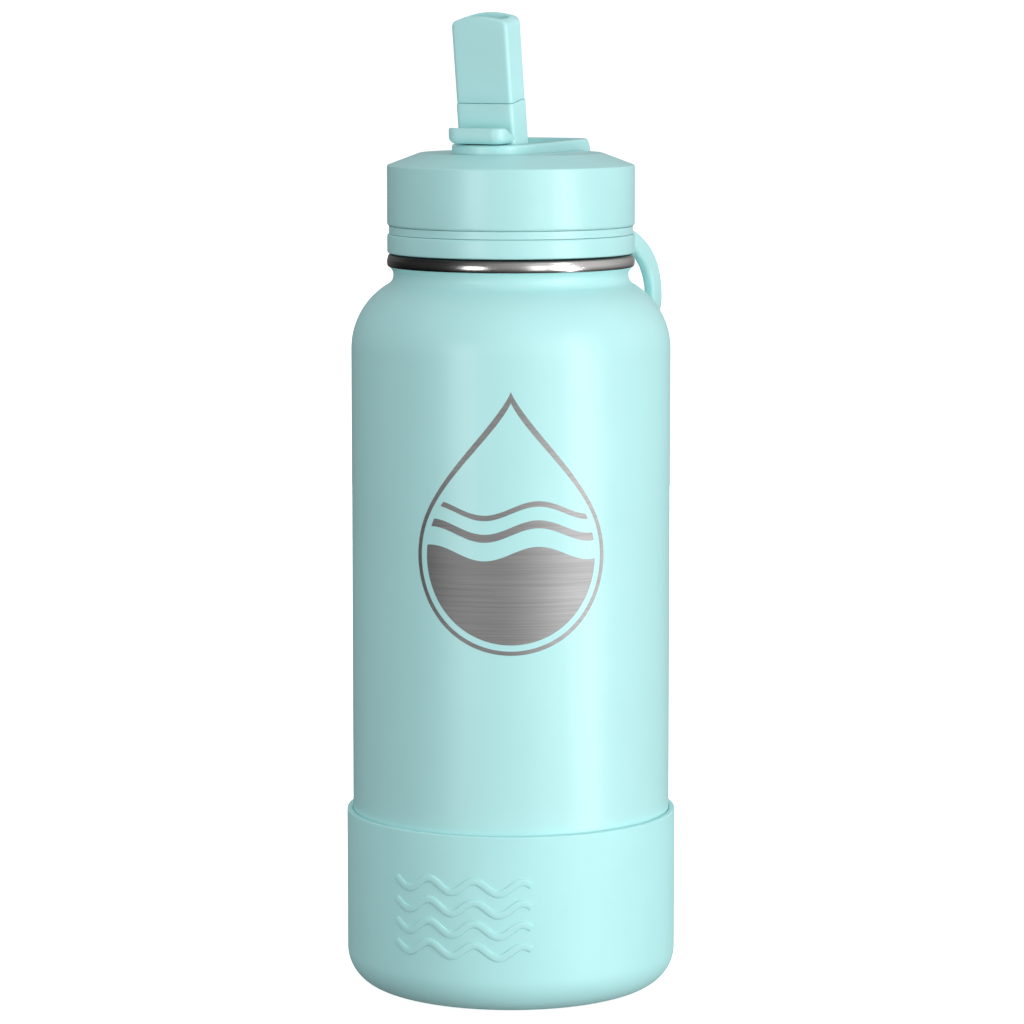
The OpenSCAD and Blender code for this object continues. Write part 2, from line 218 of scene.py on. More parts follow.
def cut(obj, tool, sharp=40):
    """Cuts tool out of obj and removes tool."""
    step = obj.modifiers.new("cut", "BOOLEAN")
    step.operation = "DIFFERENCE"
    step.solver = "EXACT"
    step.object = tool
    shaped = bpy.data.meshes.new_from_object(obj.evaluated_get(bpy.context.evaluated_depsgraph_get()))
    obj.modifiers.clear()
    old = obj.data
    obj.data = shaped
    bpy.data.meshes.remove(old)
    bpy.data.objects.remove(tool)
    tidy_mesh(shaped, sharp)
    return obj


# ---- materials ----

class Shader:
    """A Principled material with helpers for procedural colour, roughness and bump."""

    def __init__(self, name, metallic=0.0, **constants):
        self.material = bpy.data.materials.new(name)
        self.material.use_nodes = True
        self.tree = self.material.node_tree
        self.shader = self.tree.nodes["Principled BSDF"]
        self.shader.inputs["Metallic"].default_value = metallic
        self.shader.inputs["IOR"].default_value = 1.5
        for socket, value in constants.items():
            self.shader.inputs[socket.replace("_", " ")].default_value = value
        self.place = self.node("ShaderNodeTexCoord").outputs["Object"]

    def node(self, kind, **inputs):
        made = self.tree.nodes.new(kind)
        for socket, value in inputs.items():
            self.put(made.inputs[socket.replace("_", " ")], value)
        return made

    def put(self, socket, value):
        if isinstance(value, bpy.types.NodeSocket):
            self.tree.links.new(value, socket)
        else:
            socket.default_value = value

    def noise(self, scale, detail=3.0, stretch=(1, 1, 1)):
        mapping = self.node("ShaderNodeMapping", Vector=self.place, Scale=stretch)
        return self.node("ShaderNodeTexNoise", Vector=mapping.outputs[0], Scale=scale,
                         Detail=detail).outputs["Fac"]

    def blend(self, factor, a, b):
        mix = self.node("ShaderNodeMix")
        mix.data_type = "RGBA"
        self.put(mix.inputs["Factor"], factor)
        self.put(mix.inputs["A"], a)
        self.put(mix.inputs["B"], b)
        return mix.outputs["Result"]

    def spread(self, value, low, high):
        """Maps the middle of a noise's range, 0.3 to 0.7, to low to high."""
        return self.ramp(value, 0.3, 0.7, low, high)

    def ramp(self, value, start, end, low=0.0, high=1.0):
        return self.node("ShaderNodeMapRange", Value=value, From_Min=start, From_Max=end,
                         To_Min=low, To_Max=high).outputs["Result"]

    def colour(self, value):
        self.put(self.shader.inputs["Base Color"], value)

    def roughness(self, value):
        self.put(self.shader.inputs["Roughness"], value)

    def bump(self, height, distance, strength=1.0):
        made = self.node("ShaderNodeBump", Height=height, Distance=distance, Strength=strength)
        self.put(self.shader.inputs["Normal"], made.outputs["Normal"])


def shade(hex_colour, lift=1.0):
    """An sRGB hex colour as linear RGBA."""
    parts = [int(hex_colour[i:i + 2], 16) / 255 for i in (0, 2, 4)]
    linear = [c / 12.92 if c <= 0.04045 else ((c + 0.055) / 1.055) ** 2.4 for c in parts]
    return (*[min(1, c * lift) for c in linear], 1)


MINT = "b4e6e6"
BOOT_MINT = "b1e6e6"
MOUTH_MINT = "b9eced"


def powder_coat():
    """Satin coat with a fine grain and faint patches of tone."""
    m = Shader("powder_coat", Specular_IOR_Level=0.5)
    patches = m.noise(35, 2)
    grain = m.noise(2600, 2)
    m.colour(m.blend(m.spread(patches, 0, 1), shade(MINT, 0.985), shade(MINT, 1.015)))
    m.roughness(m.spread(grain, 0.31, 0.38))
    m.bump(grain, 0.00002, 0.6)
    return m.material


def lid_plastic():
    """Moulded plastic, finer grained and a little glossier than the coat."""
    m = Shader("lid_plastic", Specular_IOR_Level=0.5)
    patches = m.noise(60, 2)
    grain = m.noise(4200, 2)
    m.colour(m.blend(m.spread(patches, 0, 1), shade(MINT, 0.98), shade(MINT, 1.01)))
    m.roughness(m.spread(grain, 0.30, 0.37))
    m.bump(grain, 0.00001, 0.5)
    return m.material


def silicone(name, tone, rough):
    """Soft rubber with a faint sheen."""
    m = Shader(name, Specular_IOR_Level=0.4, Sheen_Weight=0.08, Sheen_Roughness=0.5)
    patches = m.noise(45, 3)
    grain = m.noise(3400, 3)
    m.colour(m.blend(m.spread(patches, 0, 1), shade(tone, 0.975), shade(tone, 1.01)))
    m.roughness(m.spread(grain, rough - 0.04, rough + 0.04))
    m.bump(grain, 0.000012, 0.5)
    return m.material


def polished_steel():
    """Bright steel of the pins."""
    m = Shader("polished_steel", metallic=1.0, Anisotropic=0.4)
    lines = m.noise(900, 3, stretch=(0.02, 0.02, 6))
    m.colour(m.blend(m.spread(lines, 0, 1), (0.56, 0.54, 0.53, 1), (0.66, 0.645, 0.635, 1)))
    m.roughness(m.spread(lines, 0.13, 0.2))
    m.bump(lines, 0.000006, 0.4)
    return m.material


def lip_steel():
    """Polished steel, with painted shade in the creases at its lower and upper edges, where its colour
    turns near black.
    """
    m = Shader("lip_steel", metallic=1.0)
    lines = m.noise(900, 3, stretch=(0.02, 0.02, 6))
    # painted shade: the colour falls to near black over the lowest 0.7 mm by the coated neck and the top
    # 0.6 mm under the lid ring
    height = m.node("ShaderNodeSeparateXYZ", Vector=m.place).outputs["Z"]
    rise = m.ramp(height, (NECK_TOP + 0.1) * MM, (NECK_TOP + 0.8) * MM)
    fall = m.ramp(height, (BEAD_TOP - 0.3) * MM, (BEAD_TOP - 0.9) * MM)
    unshaded_band = m.node("ShaderNodeMath", Value=rise)
    unshaded_band.operation = "MULTIPLY"
    m.put(unshaded_band.inputs[1], fall)
    bright = m.blend(m.spread(lines, 0, 1), (0.5, 0.49, 0.485, 1), (0.58, 0.57, 0.565, 1))
    # the near-black colour is the painted shade; unshaded_band is 1 between the two shaded edges
    m.colour(m.blend(unshaded_band.outputs[0], (0.1, 0.1, 0.1, 1), bright))
    m.roughness(m.spread(lines, 0.2, 0.25))
    m.bump(lines, 0.000004, 0.25)
    return m.material


def brushed_steel(name, light, smooth, rough):
    """Steel with fine lines round the bottle's axis."""
    m = Shader(name, metallic=1.0)
    streaks = m.noise(260, 5, stretch=(0.12, 0.12, 9))
    fine = m.noise(1500, 3, stretch=(0.05, 0.05, 5))
    dark = tuple(c * 0.8 for c in light[:3]) + (1,)
    m.colour(m.blend(m.spread(streaks, 0, 1), dark, light))
    m.roughness(m.spread(fine, smooth, rough))
    m.bump(fine, 0.00001, 0.5)
    return m.material


def clear_plastic():
    m = Shader("clear_plastic", Transmission_Weight=0.35, Specular_IOR_Level=0.5)
    cloud = m.noise(120, 3)
    m.colour(m.blend(m.spread(cloud, 0, 1), (0.74, 0.83, 0.85, 1), (0.8, 0.88, 0.9, 1)))
    m.roughness(m.spread(cloud, 0.22, 0.3))
    m.bump(cloud, 0.00002, 0.3)
    return m.material


def foam():
    m = Shader("foam")
    cells = m.noise(1400, 4)
    m.colour(m.blend(m.spread(cells, 0, 1), (0.76, 0.74, 0.66, 1), (0.86, 0.84, 0.77, 1)))
    m.roughness(m.spread(cells, 0.8, 0.95))
    m.bump(cells, 0.0001, 0.8)
    return m.material


def dress(obj, material):
    obj.data.materials.clear()
    obj.data.materials.append(material)
    return obj


# ---- bottle ----

def shell_side(inset):
    """Outline of the coated wall, from the foot to where the coating stops."""
    shoulder_c = SHELL_R - SHOULDER_ROUND
    neck_z = SIDE_TOP + SHOULDER_RISE
    reach = NECK_R - shoulder_c
    blend_r = (reach ** 2 + SHOULDER_RISE ** 2 - SHOULDER_ROUND ** 2) / (2 * (SHOULDER_ROUND - reach))
    blend_x = NECK_R + blend_r
    turn = math.degrees(math.atan2(SHOULDER_RISE, blend_x - shoulder_c))
    stop = math.degrees(math.asin((NECK_TOP - neck_z) / (blend_r + inset)))
    side = arc(SHELL_R - BASE_ROUND, SHELL_Z + BASE_ROUND, BASE_ROUND - inset, -90, 0)
    side += arc(shoulder_c, SIDE_TOP, SHOULDER_ROUND - inset, 0, turn, 40)
    side += arc(blend_x, neck_z, blend_r + inset, 180 + turn, 180 - stop, 16)[1:]
    return side


def make_shell():
    """Coated wall, open at its foot's middle and at the neck."""
    outline = shell_side(0) + shell_side(SHELL_WALL)[::-1]
    return lathe("bottle_shell", outline, sharp=CREASE)


def make_mouth_bead():
    """Rolled steel lip with a rounded face; its lower part goes down inside the coated neck."""
    face_r, face_z, top_r, turn = 3.2, BEAD_TOP - 2.3, 1.1, 22
    inner, x, foot = MOUTH_R + 0.55, LID_R + LIP_OUT - face_r, BEAD_TOP - 3.9
    low = math.degrees(math.asin((NECK_TOP + CLEAR - face_z) / face_r))
    outline = arc(x, face_z, face_r, low, turn, 18)
    outline += arc(x + face_r - 0.23 - top_r, BEAD_TOP - top_r, top_r, turn, 90, 8)
    outline += [(inner + 0.6, BEAD_TOP), (inner + 0.15, BEAD_TOP - 0.2), (inner, BEAD_TOP - 0.7)]
    outline += [(inner, foot), (NECK_R - 0.65, foot), (NECK_R, NECK_TOP + CLEAR)]
    return lathe("mouth_bead", outline, sharp=CREASE)


def make_boot():
    """Silicone sleeve with a rolled upper edge and a soft turn into its flat floor."""
    r, toe, lip = BOOT_R, BOOT_TOE, 0.5
    inside, lip_z = SHELL_R + CLEAR, BOOT_H - lip
    outline = [(0, 0)] + arc(r - toe, toe, toe, -90, 0, 18)
    outline += arc(r - lip, lip_z, lip, 0, 90, 6) + arc(inside + lip, lip_z, lip, 90, 180, 6)
    outline += arc(SHELL_R - BASE_ROUND, SHELL_Z + BASE_ROUND, BASE_ROUND + CLEAR, 0, -90)
    outline += [(0, SHELL_Z - CLEAR)]
    return lathe("boot_sleeve", outline, sharp=CREASE)


# ---- marks ----

def wrapped(s, z, r):
    """A point s millimetres round the bottle from the middle of its front, at radius r."""
    a = s / SHELL_R
    return (r * math.sin(a), -r * math.cos(a), z)


def plate(name, rows, radius, heights):
    """A closed relief on a cylinder: rows of (s, z) points, each raised by its own height."""
    sunk = 0.25
    wide = len(rows[0])
    top = [wrapped(s, z, radius + h) for row in rows for (s, z), h in zip(row, heights)]
    under = [wrapped(s, z, radius - sunk) for row in rows for s, z in row]
    size = len(top)
    faces = []
    for i in range(len(rows) - 1):
        for j in range(wide - 1):
            a, b = i * wide + j, (i + 1) * wide + j
            q = (a, a + 1, b + 1, b)
            faces += [q, tuple(size + k for k in reversed(q))]
    rim = list(range(wide)) + [i * wide + wide - 1 for i in range(1, len(rows))]
    rim += [(len(rows) - 1) * wide + j for j in range(wide - 2, -1, -1)]
    rim += [i * wide for i in range(len(rows) - 2, 0, -1)]
    for a, b in zip(rim, rim[1:] + rim[:1]):
        faces.append((b, a, size + a, size + b))
    return add_object(name, top + under, faces, sharp=30)


def stroke(name, line, width, radius, height, edge):
    """A raised line of one width with rounded shoulders along a list of (s, z) points."""
    half, shoulder, shoulder_h = width / 2, edge * 0.4, height * 0.75
    offsets = [-half, -half + shoulder, -half + edge, half - edge, half - shoulder, half]
    heights = [0.0, shoulder_h, height, height, shoulder_h, 0.0]
    rows = []
    for i, (s, z) in enumerate(line):
        before, after = line[max(i - 1, 0)], line[min(i + 1, len(line) - 1)]
        along = Vector((after[0] - before[0], after[1] - before[1])).normalized()
        rows.append([(s - along.y * o, z + along.x * o) for o in offsets])
    return plate(name, rows, radius, heights)


def join(name, objects):
    """One object from several."""
    target = objects[0]
    target.name = target.data.name = name
    work = bmesh.new()
    for obj in objects:
        work.from_mesh(obj.data)
    work.to_mesh(target.data)
    work.free()
    for obj in objects[1:]:
        bpy.data.objects.remove(obj)
    tidy_mesh(target.data, 30)
    return target


def drop_half(z, low, radius, tip):
    """Half width of a water drop at height z: a circle below, drawn in to a point above."""
    power = 1.15
    centre = low + radius
    touch = centre + radius * 0.42
    if z <= touch:
        return math.sqrt(max(0, radius ** 2 - (z - centre) ** 2))
    at_touch = math.sqrt(radius ** 2 - (touch - centre) ** 2)
    slope = -(touch - centre) / at_touch
    f = (z - touch) / (tip - touch)
    bend = slope * (tip - touch) + power * at_touch
    return max(0, at_touch * (1 - f) ** power + bend * f * (1 - f) ** 2)


def drop_roof(s, low, radius, tip):
    """Height at which the drop's upper edge is s from its middle."""
    under, over = low + radius, tip
    for _ in range(30):
        middle = (under + over) / 2
        if drop_half(middle, low, radius, tip) > s:
            under = middle
        else:
            over = middle
    return under


def drop_outline(low, radius, tip, count=90):
    """Closed outline of the drop, from its foot up the right side and down the left."""
    right = []
    for i in range(count + 1):
        f = (1 - math.cos(math.pi * i / count)) / 2
        z = low + (tip - low) * f
        right.append((drop_half(z, low, radius, tip), z))
    return right + [(-s, z) for s, z in reversed(right[1:-1])]


def make_emblem():
    """Etched mark: a water drop, part filled, with two waves over the fill."""
    low, radius, tip = 101.0, 27.0, 173.5
    line, gap, steps = 1.15, 1.7, 160
    swell, period, relief = 2.0, 30, [0.03, 0.03]
    outline = drop_outline(low, radius, tip)
    inner = drop_outline(low + line, radius - line, tip - 2.6 * line)
    rows = [[a, b] for a, b in zip(outline, inner)]
    parts = [plate("etched_mark", rows + rows[:1], SHELL_R, relief)]
    low_fill, r_fill, tip_fill = low + line + gap, radius - line - gap, tip - 8
    for level, thick in ((129, None), (135.2, 2.2), (140.8, 1.5)):
        columns = []
        for i in range(steps + 1):
            s = -r_fill * math.cos(math.pi * i / steps)
            wave = level + swell * math.sin(2 * math.pi * s / period)
            bottom = low_fill + r_fill - math.sqrt(r_fill ** 2 - s ** 2)
            roof = drop_roof(abs(s), low_fill, r_fill, tip_fill)
            floor = bottom if thick is None else max(bottom, wave - thick / 2)
            ceiling = min(roof, wave if thick is None else wave + thick / 2)
            if ceiling - floor > 0.02:
                columns.append([(s, floor), (s, ceiling)])
        parts.append(plate(f"mark_part_{level}", columns, SHELL_R, relief))
    return join("etched_mark", parts)


def frange(start, stop, step):
    return [start + step * i for i in range(int((stop - start) / step) + 1)]


def make_boot_mark():
    """Raised wave lines on the boot, left of the front."""
    swell, period, width, relief, edge = 1.7, 13, 2.1, 0.38, 0.4
    parts = []
    for n, z in enumerate((36.5, 30.5, 24.5, 18.5)):
        line = [(s, z + swell * math.sin(2 * math.pi * s / period)) for s in frange(-33.5, 5.5, 0.5)]
        parts.append(stroke(f"boot_wave_{n}", line, width, BOOT_R, relief, edge))
    return join("boot_mark", parts)


# ---- lid ----

def between(a, b, count=20):
    """Points inside a straight line, its ends left out."""
    return [(a[0] + (b[0] - a[0]) * i / count, a[1] + (b[1] - a[1]) * i / count)
            for i in range(1, count)]


def well_plan(front, rear, width, corner):
    """Plan of the well in the cradle, from front to rear."""
    middle = (front + rear) / 2
    return [(x, y + middle) for x, y in rounded_rect(width, rear - front, corner, side=20)]


def cradle_plan(rear, inset=0.0):
    """Plan of the cradle, round in front, with as many points as the plan of its well."""
    r, corner, middle = CRADLE_W / 2 - inset, CRADLE_CORNER - inset, CRADLE_FRONT + CRADLE_W / 2
    x, y = r - corner, rear - inset - corner
    outline = arc(x, y, corner, 0, 90, 8) + between((x, y + corner), (-x, y + corner))
    outline += arc(-x, y, corner, 90, 180, 8) + between((-r, y), (-r, middle))
    return outline + arc(0, middle, r, 180, 360, 36) + between((r, middle), (r, y))


def prism(plan, low, high):
    """A cutter with one plan all the way up, in the lid's frame."""
    return loft("cutter", [[(x, y, z) for x, y in plan] for z in (low, high)], place=LID_FRAME)


def pin_frame(side, turn):
    """Frame on the axis of the loop's pins, side millimetres from its middle, turned about Y."""
    return LID_FRAME @ Matrix.Translation((side, PIN.y, PIN.z)) @ Matrix.Rotation(turn, 4, "Y")


def make_cap():
    """Round cap with a softly broken edge under its sloping top."""
    low_r, top_r, crown_r, skin, rim = 0.9, 0.5, 4, 2.4, 0.62
    side = CAP_SIDE_TOP
    slope = math.degrees(math.atan2(CAP_TOP - side, LID_R - FLAT_R))
    outline = [(LID_R - rim, CAP_LOW + 0.5), (LID_R - rim, CAP_LOW + 0.1)]
    outline += arc(LID_R - low_r + 0.1, CAP_LOW + low_r, low_r - 0.1, -90, 0, 6)
    outline += arc(LID_R - top_r, side - top_r / 2, top_r, 0, 90 - slope, 6)
    outline += arc(FLAT_R - 0.7, CAP_TOP - crown_r, crown_r, 90 - slope, 90, 8)
    outline += [(0, CAP_TOP), (0, CAP_TOP - skin), (FLAT_R - 1, CAP_TOP - skin),
                (LID_R - skin, side - 1.4), (LID_R - skin, CAP_LOW + 0.5)]
    cap = lathe("lid_cap_shell", outline, place=LID_FRAME, sharp=CREASE)
    return cut(cap, prism(cradle_plan(CRADLE_REAR - CRADLE_SHORT, -0.3), CAP_TOP - 12, CAP_TOP + 12),
               sharp=CREASE)


def make_ring():
    """Lower band of the lid with a notch and a lug on each side for the loop's pins."""
    edge, core = 0.55, MOUTH_R - 0.3
    low, high, gap = RING_LOW, RING_TOP, 0.12
    outline = arc(LID_R - edge, low + edge, edge, -90, 0, 6)
    outline += arc(LID_R - edge, high - gap - edge, edge, 0, 90, 6) + [(core, high - gap), (core, low)]
    ring = lathe("carry_band", outline, place=LID_FRAME, sharp=CREASE)
    face = LOOP_X - STRAP_W / 2 - 0.2
    front = PIN.y - STRAP_T / 2 - 0.6
    out, back, past = face + 14, 40, 3
    for side in (-1, 1):
        box = [(side * x, y) for x, y in ((face, front), (out, front), (out, back), (face, back))]
        cut(ring, prism(box, low - past, high + past), sharp=CREASE)
    lugs = []
    for side in (-1, 1):
        r, soft, root = (high - low) / 2 - 0.02, 0.4, side * (face - 6)
        ends = [(0, root), (r * 0.2, root), (r, root)]
        ends += [(x, side * z) for x, z in arc(r - soft, face - soft, soft, 0, 90, 5)] + [(0, side * face)]
        lugs.append(lathe("lug", ends, steps=48, place=pin_frame(0, math.pi / 2)))
    return join("carry_band", [ring, *lugs])


def bezier(p, t):
    """A point on the cubic curve with the four control points p."""
    a, b, c, d = (Vector(q) for q in p)
    return a * (1 - t) ** 3 + b * 3 * (1 - t) ** 2 * t + c * 3 * (1 - t) * t ** 2 + d * t ** 3


def loop_middle(t):
    """Middle line of the carry loop, from one pin at 0 to the other at 4, in the lid's frame."""
    z = PIN.z
    arm = [(LOOP_X, PIN.y, z), (27, 31.7, z - 2.7), (27.5, 38, z - 8.2), (27.4, 38.2, z - 16.2)]
    grip = [arm[3], (27.3, 40.5, z - 24), (17, 49.4, z - 37.5), (0, 49.4, z - 37.5)]
    near = min(t, 4 - t)
    p = bezier(arm, near) if near < 1 else bezier(grip, near - 1)
    return p if t <= 2 else Vector((-p.x, p.y, p.z))


def loop_line(t):
    """The loop's middle line with the bends between its parts smoothed; the pins stay put."""
    reach = min(0.2, t, 4 - t)
    sides = loop_middle(t - reach) + loop_middle(t + reach)
    return loop_middle(t) * 0.5 + sides * 0.25


def make_loop():
    """Soft strap bent behind the lid, round at its ends and a little deeper along its arms."""
    steps, eye_r, deeper = 160, STRAP_T / 2, 1.0
    rings = []

    def ring(middle, ahead, near, depth):
        """One cross-section; its depth points back along the arms and nearly up at the pins."""
        tilt = math.radians(70 * max(0, 1 - near))
        side = ahead.cross(Vector((0, math.cos(tilt), math.sin(tilt)))).normalized()
        deep = side.cross(ahead)
        corner = min(1.3, depth / 2 - 0.02)
        rings.append([middle + side * x + deep * y
                      for x, y in rounded_rect(STRAP_W, depth, corner, side=3, corner=6)])

    def end(t, way):
        """Half-round end of the strap about a pin."""
        ahead = (loop_line(0.02) - loop_line(0)).normalized()
        if t:
            ahead = (loop_line(4) - loop_line(3.98)).normalized()
        turns = [math.radians(a) for a in range(-85, 0, 10)]
        for a in turns if way > 0 else reversed(turns):
            ring(loop_line(t) + ahead * way * eye_r * math.sin(a), ahead, 0, 2 * eye_r * math.cos(a))

    end(0, 1)
    for i in range(steps + 1):
        t = 4 * i / steps
        near = min(t, 4 - t)
        ahead = (loop_line(min(4, t + 0.01)) - loop_line(max(0, t - 0.01))).normalized()
        along = min(1, near / 0.8)
        ring(loop_line(t), ahead, near, STRAP_T + deeper * (along ** 2 * (3 - 2 * along)))
    end(4, -1)
    strap = loft("loop_strap", rings, place=LID_FRAME, sharp=CREASE)
    start, stop = -3, 1.0
    for side in (-1, 1):
        hole = [(0, start), (PIN_BORE, start), (PIN_BORE, stop), (0, stop)]
        tool = lathe("cutter", hole, steps=48, place=pin_frame(side * LOOP_X, side * math.pi / 2))
        cut(strap, tool, sharp=CREASE)
    return strap


def cradle_top_at(y):
    return CAP_TOP + CRADLE_RISE + CRADLE_SLOPE * (y - CRADLE_FRONT)


def make_cradle():
    """Raised tray with a well for the folded spout; its rear end slopes out over the cap's edge."""
    soft, round_back, wall_back, foot = 0.7, 1.5, 1.6, 0.15
    lip, well_corner = 0.35, 1.2
    base = CAP_TOP - 6.9
    floor = HINGE.z - BASE_T / 2 - 0.3
    tail = CRADLE_REAR + CRADLE_TAIL
    rings = []

    def over_cap(x, y, height):
        """Keeps a point above the cap's cone where the tail reaches past the flat top."""
        out = max(0, math.hypot(x, y) - FLAT_R)
        return max(height, CAP_TOP + 0.03 - out * (CAP_TOP - CAP_SIDE_TOP) / (LID_R - FLAT_R))

    def ring(plan, height, lift=0.0):
        rings.append([(x, y, height(y) - lift if callable(height) else height) for x, y in plan])

    low_plan, tail_plan = cradle_plan(CRADLE_REAR - CRADLE_SHORT), cradle_plan(tail)
    ring(low_plan, base)
    rings.append([(x, y, over_cap(x, y, CAP_TOP - 5) - 0.25) for x, y in low_plan])
    rings.append([(x, y, over_cap(x, y, 0) - 0.02) for x, y in tail_plan])
    ring(tail_plan, CAP_TOP + foot)
    rise = cradle_top_at(tail) - soft - CAP_TOP - foot
    for i in range(1, 6):
        plan = cradle_plan(tail - wall_back * (i / 5) ** 1.3)
        height = CAP_TOP + foot + rise * i / 5
        rings.append([(x, y, min(height, cradle_top_at(y) - soft)) for x, y in plan])
    for a in range(15, 91, 15):
        inset = soft * (1 - math.cos(math.radians(a)))
        drop = soft * (1 - math.sin(math.radians(a)))
        back = wall_back + round_back * (1 - math.cos(math.radians(a)))
        ring(cradle_plan(tail - back + inset, inset), cradle_top_at, drop)
    front, rear = -HINGE_FRONT - BASE_T / 2 - 0.6, SPOUT_LEN - HINGE_FRONT + 0.3
    width = BASE_W + 0.8
    for a in range(0, 91, 30):
        grow = lip * (1 - math.sin(math.radians(a)))
        drop = lip * (1 - math.cos(math.radians(a)))
        plan = well_plan(front - grow, rear + grow, width + 2 * grow, well_corner + grow)
        ring(plan, cradle_top_at, drop)
    for inset, height in ((0, 0.5), (0.15, 0.15), (0.5, 0)):
        plan = well_plan(front + inset, rear - inset, width - 2 * inset, well_corner - inset)
        ring(plan, floor + height)
    return loft("cradle_tray", rings, place=LID_FRAME, sharp=CREASE)


# ---- spout ----

def make_spout_base():
    """Rigid foot of the spout on a round hinge barrel, with the thumb tab in front."""
    r, edge = 1.2, 0.25
    rings = []
    for a in range(85, -1, -5):
        angle = math.radians(a)
        thick = BASE_T * math.cos(angle)
        corner = min(r, thick / 2 - 0.05)
        rings.append([(x, y, -BASE_T / 2 * math.sin(angle))
                      for x, y in rounded_rect(BASE_W, thick, corner)])
    for z in (4, 8, SEAM_AT - edge):
        rings.append([(x, y, z) for x, y in rounded_rect(BASE_W, BASE_T, r)])
    for inset, z in ((edge * 0.3, SEAM_AT - edge * 0.3), (edge, SEAM_AT)):
        plan = rounded_rect(BASE_W - 2 * inset, BASE_T - 2 * inset, r - inset)
        rings.append([(x, y, z) for x, y in plan])
    post = loft("spout_foot", rings, place=SPOUT_FRAME, sharp=CREASE)
    return join("spout_foot", [post, make_tab()])


def make_tab():
    """Thumb tab: a scoop as wide as the spout, its rim high in front and dipping to the spout."""
    low = CAP_TOP + TAB_LIFT
    front, back, corner = TAB_FRONT, -HINGE_FRONT - 2, 3.2
    floor_top, high, under, lip = 1.7, 4.45, 2.1, 0.6

    def plan(inset):
        middle, length = (front + inset + back) / 2, back - front - inset
        outline = rounded_rect(BASE_W - 2 * inset, length, max(0.5, corner - inset), side=24, corner=10)
        return [(x, y + middle) for x, y in outline]

    def rim(y):
        """Height of the rim, which eases down from the front to just over the floor."""
        f = min(1, max(0, (y - front - 2.2) / 6.6))
        ease = f * f * (3 - 2 * f)
        return high - (high - floor_top - 0.5) * ease

    rings = []
    for a in range(0, 91, 15):
        inset = under * (1 - math.sin(math.radians(a)))
        rings.append([(x, y, low + under * (1 - math.cos(math.radians(a)))) for x, y in plan(inset)])
    for a in range(0, 181, 30):
        c, s = math.cos(math.radians(a)), math.sin(math.radians(a))
        rings.append([(x, y, low + rim(y) - lip + lip * s) for x, y in plan(lip - lip * c)])
    rings.append([(x, y, low + min(rim(y) - 0.7, floor_top + 0.8)) for x, y in plan(1.6)])
    rings.append([(x, y, low + floor_top) for x, y in plan(2.6)])
    return loft("tab", rings, place=LID_FRAME, sharp=CREASE)


def make_mouthpiece():
    """Soft upper spout: rounded edges, an arched top and a long slot."""
    arch_r, shoulder, r, soft = 24, 1.6, 1.1, 0.55
    slot_w, slot_t, slot_r, slot_lip = 12.8, 6.2, 2.4, 0.35
    rings = []

    def arch(x):
        """How far the top falls away at x from its middle."""
        x = min(abs(x), SPOUT_W / 2)
        past = max(0, x - SPOUT_W / 2 + shoulder)
        return x * x / (2 * arch_r) + shoulder - math.sqrt(max(0, shoulder ** 2 - past ** 2))

    def ring(w, t, corner, z, arched=1.0):
        rings.append([(x, y, z - arched * arch(x)) for x, y in rounded_rect(w, t, corner, side=18)])

    foot = SEAM_AT + 0.12
    ring(SPOUT_W - 0.5, SPOUT_T - 0.5, r - 0.25, foot, 0)
    ring(SPOUT_W - 0.15, SPOUT_T - 0.15, r - 0.07, foot + 0.07, 0)
    ring(SPOUT_W, SPOUT_T, r, foot + 0.25, 0)
    top = SPOUT_LEN - soft
    for i in range(1, 9):
        ring(SPOUT_W, SPOUT_T, r, foot + (top - foot) * i / 8, i / 8)
    for a in range(15, 91, 15):
        inset, up = soft * (1 - math.cos(math.radians(a))), soft * math.sin(math.radians(a))
        ring(SPOUT_W - 0.8 * inset, SPOUT_T - 2 * inset, r - inset * 0.4, top + up)
    for a in range(0, 91, 30):
        grow = slot_lip * (1 - math.sin(math.radians(a)))
        drop = slot_lip * (1 - math.cos(math.radians(a)))
        ring(slot_w + 2 * grow, slot_t + 2 * grow, slot_r + grow, SPOUT_LEN - drop)
    ring(12.4, 5.4, 2.1, SPOUT_LEN - 3.5)
    ring(12, 5, 1.8, SPOUT_LEN - 7)
    ring(12, 5, 1.8, SEAM_AT + 2, 0)
    ring(4, 3, 1.2, SEAM_AT + 0.8, 0)
    return loft("soft_mouthpiece", rings, place=SPOUT_FRAME, sharp=55)


# ---- stage ----

def area_light(name, azimuth, height, distance, size, power, aim=0.14, mirrored=True):
    """A softbox round the bottle; azimuth 0 is the camera's side and 90 is its right."""
    light = bpy.data.lights.new(name, "AREA")
    light.shape = "RECTANGLE"
    light.size, light.size_y = size
    light.energy = power
    obj = bpy.data.objects.new(name, light)
    a = math.radians(azimuth)
    obj.location = (distance * math.sin(a), -distance * math.cos(a), height)
    towards = Vector((0, 0, aim)) - obj.location
    obj.rotation_euler = towards.to_track_quat("-Z", "Y").to_euler()
    obj.visible_glossy = mirrored
    bpy.context.scene.collection.objects.link(obj)


